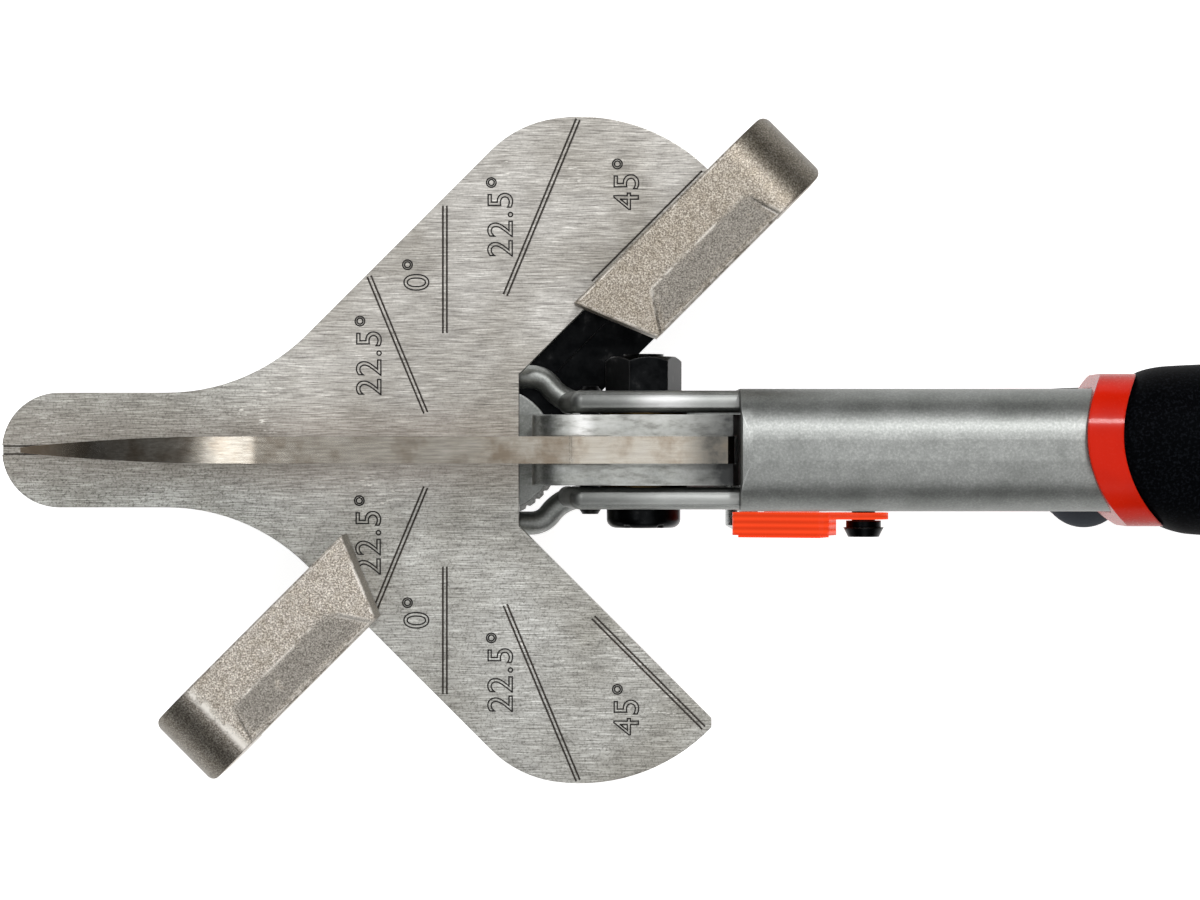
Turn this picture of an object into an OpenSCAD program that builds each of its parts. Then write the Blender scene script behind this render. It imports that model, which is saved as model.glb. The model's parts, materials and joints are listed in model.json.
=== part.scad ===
// Mitre shears: an anvil plate on a cast frame with a turning stop, and a wedge blade on a spring lever.
// Millimetres. X runs from the nose to the grips, Z is up, and the stop turns about the Z axis.

/* [Anvil plate] */
// Thickness of the anvil plate
plate_t = 4.5; // [3.5:0.1:6]
// Half width of the nose
nose_half = 8.7; // [7.5:0.1:10]
// Length of the nose ahead of the stop pivot
nose_len = 74.1; // [70:0.1:80]
// Radius of the wing ends
wing_r = 27.5; // [26.5:0.1:28.5]
// Distance from the stop pivot to the rear edge
plate_rear = 4.2; // [3:0.1:5]
// Width of the groove under the blade
groove_w = 1.4; // [1:0.1:2]
// Depth of the groove under the blade
groove_d = 1; // [0.8:0.1:1.6]
// Distance of the angle marks from the stop pivot
mark_off = 7; // [6.6:0.1:7.6]

/* [Blade] */
// Thickness of the blade at its spine
blade_t = 4; // [3.2:0.1:4.6]
// Height of the ground wedge
bevel_h = 16; // [13:0.5:18]
// Distance of the blade tip ahead of the stop pivot
blade_tip = 71; // [69:0.1:72.5]

/* [Frame and lever] */
// Distance of the blade pivot behind the stop pivot
pivot_x = 23; // [22:0.1:24]
// Height of the blade pivot above the anvil face
pivot_z = 8; // [7.5:0.1:8.5]
// Width of the frame handle
handle_w = 18; // [17.4:0.1:18.6]
// Height of the handle top above the anvil face
handle_top = 26; // [25:0.5:27]
// Thickness of the pivot ears
ear_t = 3.1; // [2.6:0.1:3.4]
// Radius of the pivot bolt
bolt_r = 3; // [2.5:0.1:3.3]
// Length of the shears behind the stop pivot
rear_len = 200; // [185:1:215]

/* [Stop] */
// Width of the stop fingers
finger_w = 12.4; // [11.5:0.1:12.8]
// Distance from the stop pivot to the inner end of a finger
finger_in = 24.4; // [23.5:0.1:27]
// Distance from the stop pivot to the outer end of a finger
finger_out = 64.8; // [62:0.1:66]
// Height of the fingers above the anvil face
finger_top = 12; // [10:0.5:14]
// Angle of the stop from square across the blade
stop_angle = 45; // [0:0.5:45]

/* [Latch and spring] */
// Angle that the latch swings to reach its catch
latch_swing = 20; // [18:0.5:21]
// Turns of the return spring
spring_turns = 7; // [5:1:8]
// Wire radius of the return spring
wire_r = 0.6; // [0.4:0.05:0.7]

/* [Hidden] */
$fn = 64;
eps = 0.01;
floor_z = -plate_t - 5;
bar_z = floor_z - 0.3;
bar_t = 4.5;
bar_bot = bar_z - bar_t;
knob_top = bar_bot - 1.3;
knob_h = 9.6;
ground = knob_top - knob_h;
cheek_out = blade_t / 2 + 3.2;
ear_in = cheek_out + 0.4;
ear_out = ear_in + ear_t;
half_w = handle_w / 2;
latch_x = 55.7;
latch_z = 10;
catch_x = 38;
catch_z = -1;
catch_r = 2.5;
grip_z = 14;
low_z = -14;
spring_x = 50;
spring_r = 3.6;
spring_low = 1;
spring_high = 21.5;
ear_mid = (ear_in + ear_out) / 2;

// Shapes shared by several pieces

// A side profile, drawn in X and Z, given a width across Y from y0 to y1
module across(y0, y1) {
    translate([0, y1, 0])
        rotate([90, 0, 0])
            linear_extrude(y1 - y0) children();
}

// A cross section, drawn in Y and Z, run along X from x0 to x1
module along(x0, x1) {
    translate([x0, 0, 0])
        rotate([90, 0, 90])
            linear_extrude(x1 - x0) children();
}

// A round bar across Y
module cross_bar(x, z, r, y0, y1) {
    translate([x, y1, z])
        rotate([90, 0, 0]) cylinder(h = y1 - y0, r = r);
}

module rounded_box(x0, x1, y0, y1, r) {
    translate([x0 + r, y0]) square([x1 - x0 - 2 * r, y1 - y0]);
    translate([x0, y0 + r]) square([x1 - x0, y1 - y0 - 2 * r]);
    for (x = [x0 + r, x1 - r], y = [y0 + r, y1 - r])
        translate([x, y]) circle(r);
}

// A section that is square below and round-shouldered above
module arch(half, low, high, r) {
    translate([-half, low]) square([2 * half, high - low - r]);
    translate([r - half, low]) square([2 * (half - r), high - low]);
    for (side = [-1, 1])
        translate([side * (half - r), high - r]) circle(r);
}

module both_sides() {
    children();
    mirror([0, 1, 0]) children();
}

// Anvil plate

wing_round = 17;
flare_r = 30;
edge_off = nose_half + 36.7;
wing_x = 13.5;
wing_over = 2.115;
wing_y = wing_x + edge_off - (wing_r - wing_over) * sqrt(2);
round_s = edge_off - wing_round * sqrt(2);
round_b = wing_x + wing_y - round_s;
round_c = pow(wing_x, 2) + pow(round_s - wing_y, 2) - pow(wing_r - wing_round, 2);
round_x = (round_b + sqrt(round_b * round_b - 2 * round_c)) / 2;
round_y = round_x + round_s;
blend_x = wing_x + (round_x - wing_x) * wing_r / (wing_r - wing_round);
blend_y = wing_y + (round_y - wing_y) * wing_r / (wing_r - wing_round);
rear_off = 7.3;
wing_end = 33.4;

// One wing from the blade line outwards: 45 degree edges front and rear, a large round end and a tighter round at the front
module wing() {
    front_x = round_x - wing_round / sqrt(2);
    difference() {
        polygon([[nose_half - edge_off, nose_half], [70 - edge_off, 70], [wing_end, 70], [wing_end, wing_end + rear_off],
            [plate_rear, plate_rear + rear_off], [plate_rear, -1], [nose_half - edge_off, -1]]);
        difference() {
            translate([blend_x, wing_y + 10]) square([40, 50]);
            translate([wing_x, wing_y]) circle(wing_r, $fn = 128);
        }
        difference() {
            polygon([[front_x, front_x + edge_off], [front_x - 5, 90], [blend_x + eps, 90], [blend_x + eps, blend_y],
                [round_x, round_y]]);
            translate([round_x, round_y]) circle(wing_round, $fn = 128);
        }
    }
}

// The hollow curve from the nose into the front edge of a wing
module flare() {
    flare_t = flare_r * tan(22.5);
    corner = nose_half - edge_off;
    difference() {
        polygon([[corner - flare_t, nose_half - 1], [corner + flare_t, nose_half - 1],
            [corner + flare_t * 0.7071, nose_half + flare_t * 0.7071], [corner - flare_t, nose_half]]);
        translate([corner - flare_t, nose_half + flare_r]) circle(flare_r, $fn = 128);
    }
}

module plate_blank() {
    linear_extrude(plate_t) {
        translate([nose_half - nose_len, -nose_half]) square([nose_len - nose_half + plate_rear, 2 * nose_half]);
        translate([nose_half - nose_len, 0]) circle(nose_half);
    }
    both_sides() {
        linear_extrude(plate_t) wing();
        linear_extrude(plate_t) flare();
    }
}

// A double scribed line that the front of the stop meets at one angle: [angle, start, end]
marks = [[-22.5, 9, 31.4], [0, 17.7, 37], [22.5, 22.5, 51.3], [45, 28.9, 52.5]];
plate_holes = [[-14, 5.2], [-14, -5.2], [-46, 4.4], [-46, -4.4]];

module anvil_plate() {
    color("#b9b6b0")
        difference() {
            translate([0, 0, -plate_t]) plate_blank();
            translate([-nose_len - 1, -groove_w / 2, -groove_d]) cube([nose_len + plate_rear + 2, groove_w, groove_d + 1]);
            both_sides()
                for (m = marks, gap = [-0.3, 0.3])
                    rotate([0, 0, -m[0]])
                        translate([-mark_off + gap - 0.12, m[1], -0.15]) cube([0.24, m[2] - m[1], 1]);
            for (p = plate_holes)
                translate([p[0], p[1], -plate_t - 1]) cylinder(h = 1 + plate_t - 1.6, r = 2);
        }
}

module plate_screws() {
    color("#2a2a2c")
        for (p = plate_holes)
            translate([p[0], p[1], floor_z + 0.2])
                difference() {
                    union() {
                        cylinder(h = 2.3, r = 3.4);
                        cylinder(h = 5 + plate_t - 2, r = 2);
                    }
                    translate([0, 0, -1]) cylinder(h = 2.2, r = 1.7, $fn = 6);
                }
}

// Frame

// The cast base seen from above: a support under the nose that swells to the stop boss
module base_outline() {
    translate([-60, 0]) circle(nose_half - 0.7);
    translate([-60, 0.7 - nose_half]) square([20, 2 * nose_half - 1.4]);
    both_sides()
        polygon([[-41, -1], [-41, nose_half - 0.7], [-14, 10.4], [-4, 12.7], [2.5, 12.7], [2.5, -1]]);
    circle(9.6);
}

horn_r = 1.75;
horn_x = 6;
horn_y = 7.7;
horn_sweep = 6.4;
horn_turn = atan2(ear_mid + horn_sweep - horn_y, 8);
horn_bend = 8 / cos(horn_turn) - horn_sweep;

// One round horn: it leaves the base under the plate and swings in to the foot of its ear, with a ball at each bend
module horn() {
    translate([0, 0, floor_z + 2.5]) {
        translate([1, horn_y + horn_bend, 0]) rotate([0, 90, 0]) cylinder(h = horn_x - 1.1, r = horn_r);
        translate([horn_x, horn_y + horn_bend, 0]) sphere(horn_r + 0.015);
        translate([horn_x, horn_y, 0])
            rotate([0, 0, horn_turn + 2])
                rotate_extrude(angle = 86 - horn_turn) translate([horn_bend, 0]) circle(horn_r);
        translate([horn_x + horn_bend * cos(horn_turn), horn_y + horn_bend * sin(horn_turn), 0]) sphere(horn_r + 0.015);
        translate([horn_x + 8, ear_mid + horn_sweep, 0])
            rotate([0, 0, 181 + horn_turn])
                rotate_extrude(angle = 89 - horn_turn) translate([horn_sweep, 0]) circle(horn_r);
    }
}

// A round rim along one ear from [x0, z0] to [x1, z1], a little thicker than the web, with a ball at its start
module rim(x0, z0, x1, z1) {
    translate([x0, ear_mid, z0]) {
        rotate([0, atan2(x1 - x0, z1 - z0), 0]) cylinder(h = norm([x1 - x0, z1 - z0]), r = ear_t / 2 + 0.06);
        sphere(ear_t / 2 + 0.1);
    }
}

// The web of one pivot ear from the side, with its foot on the horn and its shoulder in the handle
module ear_outline() {
    difference() {
        polygon([[11.6, floor_z + 1], [pivot_x - 4, floor_z + 1], [pivot_x, pivot_z - 11], [34, 4], [40, 4], [40, 17],
            [13.6, 15]]);
        translate([pivot_x + 12, pivot_z - 12]) circle(4);
    }
}

// One pivot ear: a web with round rims, and a round-edged disc about the pivot
module ear() {
    edge = ear_t * 0.42;
    disc = 9.1;
    across(ear_in, ear_out) ear_outline();
    across(ear_in + 0.6, ear_out - 0.6) polygon([[13.6, 15], [40, 17], [40, 18.5], [13.6, 16.5]]);
    rim(11.6, floor_z + 2.5, 13.6, 15);
    rim(13.6, 15, 40, 17);
    translate([pivot_x, ear_in, pivot_z])
        rotate([-90, 0, 0])
            rotate_extrude() {
                square([disc - edge, ear_t]);
                translate([0, edge]) square([disc, ear_t - 2 * edge]);
                for (y = [edge, ear_t - edge])
                    translate([disc - edge, y]) circle(edge);
            }
}

module frame_casting() {
    color("#9b9c9c")
        difference() {
            union() {
                translate([0, 0, floor_z]) linear_extrude(5) base_outline();
                both_sides() {
                    horn();
                    ear();
                }
                difference() {
                    intersection() {
                        along(37, rear_len - 104) arch(half_w, 4, handle_top, 7.5);
                        across(-20, 20) rounded_box(37, rear_len, -10, handle_top, 1.6);
                    }
                    along(36, rear_len - 108) translate([-ear_in, 0]) square([2 * ear_in, handle_top - 4.5]);
                }
                along(rear_len - 105, rear_len - 10) rounded_box(-5.5, 5.5, grip_z - 7, grip_z + 7, 2);
                translate([spring_x, 0, spring_high - 1]) cylinder(h = 2, r = spring_r + 1.2);
            }
            cross_bar(pivot_x, pivot_z, bolt_r + 0.02, -20, 20);
            cross_bar(15, floor_z + 3.4, 1.6, -20, 20);
            cross_bar(latch_x, latch_z, 1.75, -20, 0);
            translate([0, 0, floor_z - 1]) cylinder(h = 10, r = 3);
            for (p = plate_holes) {
                translate([p[0], p[1], floor_z - 1]) cylinder(h = 7, r = 2);
                translate([p[0], p[1], floor_z - 1]) cylinder(h = 3.5, r = 3.5);
            }
        }
}

module pivot_bolt() {
    color("#1c1c1e")
        translate([pivot_x, 0, pivot_z])
            rotate([90, 0, 0])
                difference() {
                    union() {
                        translate([0, 0, -ear_out - 5.6]) cylinder(h = 2 * ear_out + 6, r = bolt_r);
                        translate([0, 0, ear_out])
                            rotate_extrude()
                                difference() {
                                    union() {
                                        square([5.5, 1.6]);
                                        square([4.2, 2.9]);
                                        translate([4.2, 1.6]) circle(1.3);
                                    }
                                    translate([-5, -5]) square([5, 20]);
                                    translate([0, -5]) square([10, 5]);
                                }
                    }
                    translate([0, 0, ear_out + 1.2]) cylinder(h = 4, r = 2.3, $fn = 6);
                    for (a = [0, 60, 120])
                        rotate([0, 0, a]) translate([-8, -0.5, ear_out + 2.4]) cube([16, 1, 2]);
                }
}

module pivot_nut() {
    color("#1c1c1e")
        translate([pivot_x, ear_out, pivot_z])
            rotate([-90, 0, 0])
                difference() {
                    intersection() {
                        rotate([0, 0, 8]) cylinder(h = 5.2, r = 5.75, $fn = 6);
                        rotate_extrude() polygon([[0, 0], [5.75, 0], [5.75, 4.5], [4.8, 5.2], [0, 5.2]]);
                    }
                    translate([0, 0, -1]) cylinder(h = 8, r = bolt_r);
                }
}

module thrust_washers() {
    color("#c8a24a")
        both_sides()
            difference() {
                cross_bar(pivot_x, pivot_z, 6.5, ear_in - 0.3, ear_in);
                cross_bar(pivot_x, pivot_z, bolt_r + 0.02, ear_in - 1, ear_in + 1);
            }
}

module stop_pin() {
    color("#1c1c1e")
        translate([15, 0, floor_z + 3.4])
            rotate([90, 0, 0])
                rotate_extrude()
                    polygon([[0, -ear_out - 1.1], [1.2, -ear_out - 1.1], [1.6, -ear_out - 0.5], [1.6, ear_out + 0.5],
                        [1.2, ear_out + 1.1], [0, ear_out + 1.1]]);
}

module clamp_stud() {
    color("#8d8d8f")
        translate([0, 0, ground + 3]) cylinder(h = -plate_t - ground - 3, r = 3);
}

// Latch and spring

module latch_screw() {
    color("#1c1c1e")
        difference() {
            union() {
                cross_bar(latch_x, latch_z, 1.75, -half_w - 3.1, -ear_in);
                translate([latch_x, -half_w - 2.5, latch_z])
                    rotate([90, 0, 0]) cylinder(h = 1.4, r1 = 3, r2 = 2.3);
            }
            translate([latch_x, -half_w - 2.7, latch_z])
                rotate([90, 0, 0]) cylinder(h = 3, r = 1.2, $fn = 6);
        }
}

module latch_washer() {
    color("#1c1c1e")
        difference() {
            cross_bar(latch_x, latch_z, 2.6, -half_w - 2.5, -half_w - 1.5);
            cross_bar(latch_x, latch_z, 1.75, -half_w - 4, -half_w);
        }
}

// The hooked thumb lever, drawn about its screw in the latched place and swung clear of the catch
module latch_lever() {
    back = -half_w - 0.3;
    front = -half_w - 3.7;
    color("#c8321f")
        translate([latch_x, 0, latch_z])
            rotate([0, -latch_swing, 0])
                difference() {
                    union() {
                        across(back - 1, back) {
                            circle(3.7);
                            polygon([[0, -3.7], [0, 3.7], [-6, 4.2], [-6, -2]]);
                        }
                        across(front, back) {
                            rounded_box(-19.2, -4.2, -1, 5, 1.2);
                            polygon([[-14.4, 1], [-14.4, -13.6], [-13.2, -15.8], [-10.4, -12], [-9, -4], [-5, 0.5]]);
                            polygon([[-19.6, -14.1], [-20.2, -15], [-18, -17.2], [-13.6, -16.4], [-11.4, -13.4], [-14.6, -13.9]]);
                        }
                        for (k = [0:3])
                            across(front - 0.35, front + 0.5) rounded_box(-18.2, -5.4, -0.4 + 1.4 * k, 0.4 + 1.4 * k, 0.35);
                    }
                    cross_bar(0, 0, 1.8, -20, 0);
                }
}

// The coil runs up from the lever's seat to the handle's roof as one tube
function coil_point(t) = [spring_r * cos(360 * spring_turns * t), spring_r * sin(360 * spring_turns * t),
    spring_low + wire_r + 0.05 + (spring_high - spring_low - 1 - 2 * wire_r - 0.1) * t];
coil_rings = 8 * spring_turns;
coil_pitch = (spring_high - spring_low - 1 - 2 * wire_r - 0.1) / spring_turns;
echo(spring_least_gap = coil_pitch - 2 * wire_r);

module return_spring() {
    sides = 6;
    points = [for (i = [0:coil_rings], k = [0:sides - 1])
        let (p = coil_point(i / coil_rings), a = 360 * spring_turns * i / coil_rings, b = 360 * k / sides)
        [p[0] + wire_r * cos(b) * cos(a), p[1] + wire_r * cos(b) * sin(a), p[2] + wire_r * sin(b)]];
    skin = [for (i = [0:coil_rings - 1], k = [0:sides - 1], half = [0, 1])
        let (a = i * sides + k, b = i * sides + (k + 1) % sides)
        half == 0 ? [a, b + sides, b] : [a, a + sides, b + sides]];
    ends = [for (k = [1:sides - 2], end = [0, 1])
        let (a = end * coil_rings * sides)
        end == 0 ? [a, a + k, a + k + 1] : [a, a + k + 1, a + k]];
    color("#8d8d8f")
        translate([spring_x, 0, 0]) polyhedron(points, concat(skin, ends), convexity = 10);
}

// Grips

// One slice of a grip: [x, half width, half height, middle height]
module slice(s) {
    translate([s[0], 0, s[3]])
        rotate([90, 0, 90])
            linear_extrude(0.02) scale([s[1], s[2]]) circle(1, $fn = 40);
}

module lofted(slices) {
    for (i = [0:len(slices) - 2])
        hull() {
            slice(slices[i]);
            slice(slices[i + 1]);
        }
}

// Radius and centre of the curved front of the upper collar, seen from above
collar_r = 16;
collar_x = rear_len - 97.2;
collar_y = 2;

module upper_collar() {
    color("#d3331c")
        difference() {
            intersection() {
                along(rear_len - 114, rear_len - 98) {
                    rounded_box(-11.2, 11.2, 2, 20, 5);
                    arch(11.2, 8, 27.4, 9.5);
                }
                translate([collar_x, collar_y, -10]) cylinder(h = 60, r = collar_r);
            }
            translate([collar_x + 5.2, collar_y, -10]) cylinder(h = 60, r = collar_r);
            along(rear_len - 130, rear_len - 103.99) arch(half_w, 4, handle_top, 7.5);
            along(rear_len - 110, rear_len) rounded_box(-5.5, 5.5, grip_z - 7, grip_z + 7, 2);
        }
}

module upper_grip() {
    color("#26282b")
        difference() {
            lofted([[rear_len - 110, 11.3, 12.7, 14.7], [rear_len - 95, 12.1, 12.9, 14.5], [rear_len - 70, 13.6, 13.2, 14.2],
                [rear_len - 40, 12.6, 12.2, 14.4], [rear_len - 12, 13, 13, 14.8], [rear_len - 3, 11.6, 11.6, 14.8],
                [rear_len, 8.2, 8.2, 14.8]]);
            difference() {
                translate([rear_len - 130, -30, -20]) cube([39.2, 60, 80]);
                translate([collar_x + 5.2, collar_y, -30]) cylinder(h = 100, r = collar_r);
            }
            along(rear_len - 130, rear_len - 103.99) arch(half_w, 4, handle_top, 7.5);
            along(rear_len - 110, rear_len - 10) rounded_box(-5.5, 5.5, grip_z - 7, grip_z + 7, 2);
        }
}

// Lever

// The two cheeks and the lower handle from the side
module lever_outline() {
    translate([11, 14]) circle(4.5);
    translate([10, 0]) circle(3.4);
    translate([pivot_x, pivot_z]) circle(11);
    polygon([[6.6, 0], [6.5, 14], [11, 18.5], [36, 18.5], [37.5, 15], [41, 4], [45, spring_low], [55, spring_low], [62, -4],
        [76, -7], [104, -9], [104, -20], [78, -21], [60, -19], [44, -11.5], [32, -5.5], [26, -2.8], [10, -3.4]]);
}

module lever_casting() {
    color("#8f9091")
        difference() {
            union() {
                across(-cheek_out, cheek_out) lever_outline();
                across(-8.3, 8.3) intersection() {
                    lever_outline();
                    polygon([[29.5, -3], [66, -7], [66, -40], [29.5, -40]]);
                }
                across(-7.6, 7.6) intersection() {
                    lever_outline();
                    polygon([[64, 2], [104, 2], [104, -40], [64, -40], [60, -10]]);
                }
                along(100, rear_len - 12) rounded_box(-4.5, 4.5, low_z - 5, low_z + 5, 1.5);
            }
            translate([0, -blade_t / 2, -10]) cube([36.6, blade_t, 40]);
            cross_bar(pivot_x, pivot_z, bolt_r + 0.05, -20, 20);
            cross_bar(31, 11, 2, -20, 20);
            across(-4.6, 4.6) polygon([[66, 20], [66, -13], [80, -16], [102, -16], [102, 20]]);
        }
}

// The wedge blade: its spine falls to the tip on one long arc
module blade() {
    spine_r = 63;
    color("#a9a49b")
        difference() {
            union() {
                intersection() {
                    across(-blade_t / 2, blade_t / 2)
                        intersection() {
                            polygon([[-blade_tip, -0.4], [12, -0.4], [12, 19.4], [-36, 17], [-blade_tip, 17]]);
                            union() {
                                translate([-30.5, 16.9 - spine_r]) circle(spine_r, $fn = 200);
                                translate([-36, -1]) square([50, 24]);
                            }
                        }
                    along(-blade_tip - 1, 12)
                        polygon([[-0.08, -0.4], [0.08, -0.4], [blade_t / 2, bevel_h - 0.4], [blade_t / 2, 30], [-blade_t / 2, 30],
                            [-blade_t / 2, bevel_h - 0.4]]);
                }
                across(-blade_t / 2, blade_t / 2) {
                    polygon([[8, 2], [10, -0.4], [30, -0.4], [36.2, 4], [36.2, 19], [35.2, 20], [12.4, 19.8], [12, 19.4], [8, 19.2]]);
                }
            }
            cross_bar(pivot_x, pivot_z, bolt_r + 0.05, -20, 20);
            cross_bar(31, 11, 2, -20, 20);
        }
}

module blade_pin() {
    color("#8d8d8f") cross_bar(31, 11, 2, -cheek_out, cheek_out);
}

module catch_stud() {
    color("#c9c9c9")
        translate([catch_x, -cheek_out, catch_z])
            rotate([90, 0, 0])
                rotate_extrude()
                    intersection() {
                        square([catch_r, 7.1]);
                        translate([0, 3.2]) union() {
                            circle(3.9);
                            translate([0, -4]) square([catch_r, 4]);
                        }
                    }
}

module lower_collar() {
    color("#d3331c")
        difference() {
            along(79, 85) rounded_box(-9, 9, low_z - 9, low_z + 8.6, 4);
            across(-7.6, 7.6) lever_outline();
        }
}

module lower_grip() {
    color("#26282b")
        difference() {
            union() {
                lofted([[85, 9.4, 9.9, low_z - 0.3], [100, 9.7, 10.3, low_z - 0.5], [126, 11.8, 10.9, low_z - 0.2],
                    [156, 11.2, 9.8, low_z - 0.8], [rear_len - 16, 11.8, 10.6, low_z - 0.5],
                    [rear_len - 7, 10.6, 9.6, low_z - 0.5], [rear_len - 4, 7.6, 6.8, low_z - 0.5]]);
                translate([91.5, -5.4, low_z + 1]) sphere(6.6);
            }
            across(-7.6, 7.6) lever_outline();
            along(90, rear_len - 12) rounded_box(-4.5, 4.5, low_z - 5, low_z + 5, 1.5);
        }
}

// Stop

// Runs a shape along the stop bar: its length is X, its working face looks along Y
module on_bar() {
    rotate([0, 0, 90 - stop_angle]) children();
}

arm_screw_u = finger_out - 4.4;
finger_shift = 0.3;

module fence_bar() {
    color("#1f2022")
        on_bar()
            difference() {
                union() {
                    translate([-finger_out, -5.4, bar_bot]) cube([2 * finger_out, 10.8, bar_t]);
                    translate([0, 0, bar_bot]) cylinder(h = bar_t, r = 9);
                }
                for (side = [-1, 1])
                    translate([side * (finger_out - 9) - (side > 0 ? finger_out - 22 : 0), -7, bar_z - 1])
                        cube([finger_out - 22, 8.6, 3]);
                translate([0, 0, bar_bot - 1]) cylinder(h = 10, r = 3.05);
                for (side = [-1, 1], v = [-3, 3])
                    translate([side * arm_screw_u, v, bar_bot - 1]) {
                        cylinder(h = 10, r = 1.5);
                        cylinder(h = 3.4, r = 2.4);
                    }
            }
}

// The side of a hooked arm: it stands on the end of the bar and reaches back over the plate
module stop_arm_outline() {
    bend = 9;
    foot = 8.6;
    difference() {
        union() {
            translate([finger_in, 0.5]) square([finger_out - bend - finger_in, finger_top - 0.5]);
            translate([finger_out - foot, bar_z]) square([foot, finger_top - bend - bar_z]);
            translate([finger_out - bend, finger_top - bend]) circle(bend);
            translate([finger_out - bend - 1, 0.5]) square([2, 4]);
        }
        translate([finger_out - foot - 12, -12]) square([12, 12.5]);
    }
}

// One arm: its inner end is cut at 22.5 degrees, and a shallow facet falls away behind
module stop_arm() {
    translate([0, finger_shift, 0]) difference() {
        intersection() {
            translate([0, 0, bar_z - 1]) linear_extrude(40) rounded_box(0, finger_out, -finger_w / 2, finger_w / 2, 1.8);
            rotate([90, 0, 0])
                translate([0, 0, -finger_w / 2])
                    linear_extrude(finger_w) stop_arm_outline();
        }
        translate([finger_in, finger_w / 2, -5]) rotate([0, 0, 22.5]) translate([-20, -30, 0]) cube([20, 40, 40]);
        translate([0, -0.4, finger_top])
            rotate([7, 0, 0])
                linear_extrude(10)
                    polygon([[finger_in + 9.6, 0], [finger_out - 11, 0], [finger_out - 5.3, -20], [finger_in - 3.7, -20]]);
        for (v = [-3, 3])
            translate([arm_screw_u, v - finger_shift, bar_z - 1]) cylinder(h = 9, r = 1.5);
    }
}

module stop_arm_upper() {
    color("#a8a39b") on_bar() stop_arm();
}

module stop_arm_lower() {
    color("#a8a39b") on_bar() mirror([1, 0, 0]) stop_arm();
}

module arm_screws() {
    color("#2a2a2c")
        on_bar()
            for (side = [-1, 1], v = [-3, 3])
                translate([side * arm_screw_u, v, bar_bot + 0.2])
                    difference() {
                        union() {
                            cylinder(h = 2.2, r = 2.3);
                            cylinder(h = bar_t + 7, r = 1.5);
                        }
                        translate([0, 0, -1]) cylinder(h = 2.2, r = 1.2, $fn = 6);
                    }
}

module bar_washer() {
    color("#8d8d8f")
        translate([0, 0, bar_bot - 1])
            difference() {
                cylinder(h = 1, r = 7);
                translate([0, 0, -1]) cylinder(h = 4, r = 3.05);
            }
}

module clamp_knob() {
    teeth = 36;
    color("#6f7072")
        difference() {
            translate([0, 0, ground])
                rotate_extrude() polygon([[0, 0], [9.2, 0], [10.4, 1.2], [10.4, 7], [9.6, 7.8], [7, 7.8], [7, knob_h], [0, knob_h]]);
            translate([0, 0, ground + 2.6]) cylinder(h = knob_h, r = 3.05);
            for (k = [0:teeth - 1])
                rotate([0, 0, 360 * k / teeth])
                    translate([10.65, 0, ground - 1]) rotate([0, 0, 45]) translate([-0.5, -0.5, 0]) cube([1, 1, 9]);
        }
}

translate([0, 0, -ground]) {
    frame_casting();
    anvil_plate();
    plate_screws();
    pivot_bolt();
    pivot_nut();
    thrust_washers();
    stop_pin();
    clamp_stud();
    latch_screw();
    latch_washer();
    upper_collar();
    upper_grip();
    return_spring();
    lever_casting();
    blade();
    blade_pin();
    catch_stud();
    lower_collar();
    lower_grip();
    fence_bar();
    stop_arm_upper();
    stop_arm_lower();
    arm_screws();
    bar_washer();
    clamp_knob();
    latch_lever();
}
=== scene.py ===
"""Mitre shears: finishes, engraved figures, smooth horns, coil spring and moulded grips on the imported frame."""
import json
import math

import bpy
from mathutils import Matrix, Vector


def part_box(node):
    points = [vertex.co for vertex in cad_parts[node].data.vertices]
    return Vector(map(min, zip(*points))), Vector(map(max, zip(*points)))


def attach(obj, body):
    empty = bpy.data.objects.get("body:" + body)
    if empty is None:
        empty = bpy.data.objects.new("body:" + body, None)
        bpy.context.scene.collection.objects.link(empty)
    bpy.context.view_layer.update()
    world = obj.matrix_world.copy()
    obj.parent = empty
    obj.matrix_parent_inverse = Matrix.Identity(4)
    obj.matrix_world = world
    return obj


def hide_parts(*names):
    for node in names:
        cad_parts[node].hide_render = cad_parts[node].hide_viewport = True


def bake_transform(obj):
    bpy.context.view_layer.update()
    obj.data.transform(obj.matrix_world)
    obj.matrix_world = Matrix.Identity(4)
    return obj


MM = 0.001
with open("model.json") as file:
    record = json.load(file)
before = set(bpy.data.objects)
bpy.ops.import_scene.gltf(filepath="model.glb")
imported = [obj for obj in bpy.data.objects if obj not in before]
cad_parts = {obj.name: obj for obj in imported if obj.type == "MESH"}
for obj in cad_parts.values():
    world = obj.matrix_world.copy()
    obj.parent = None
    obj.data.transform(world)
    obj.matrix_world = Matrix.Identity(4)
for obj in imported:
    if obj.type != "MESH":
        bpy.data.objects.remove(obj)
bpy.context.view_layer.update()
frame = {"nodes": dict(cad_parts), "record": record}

# The origin lies on the stop pivot, at the knob's foot: X runs to the grips, Y to the nut's side, away from the latch
FACE_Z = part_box("anvil_plate")[1][2]  # the plate's face
HANDLE_X = 36.9 * MM  # the front of the upper handle
CHEEK_Y = 5.4 * MM  # the lever's cheeks lie within this of the middle
ALONG_BAR = (0.7071, 0.7071, 0.0)  # the way the stop's bar points at rest
SHARP = 1e-6  # the width of a sharp edge in a mask


def linear(colour):
    """An sRGB hex colour as linear RGBA."""
    channels = [int(colour[i:i + 2], 16) / 255 for i in (1, 3, 5)]
    return [c / 12.92 if c <= 0.04045 else ((c + 0.055) / 1.055) ** 2.4 for c in channels] + [1.0]


def live(source):
    """A socket as it is, or the first live output of a node."""
    return source if isinstance(source, bpy.types.NodeSocket) else next(s for s in source.outputs if s.enabled)


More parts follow.
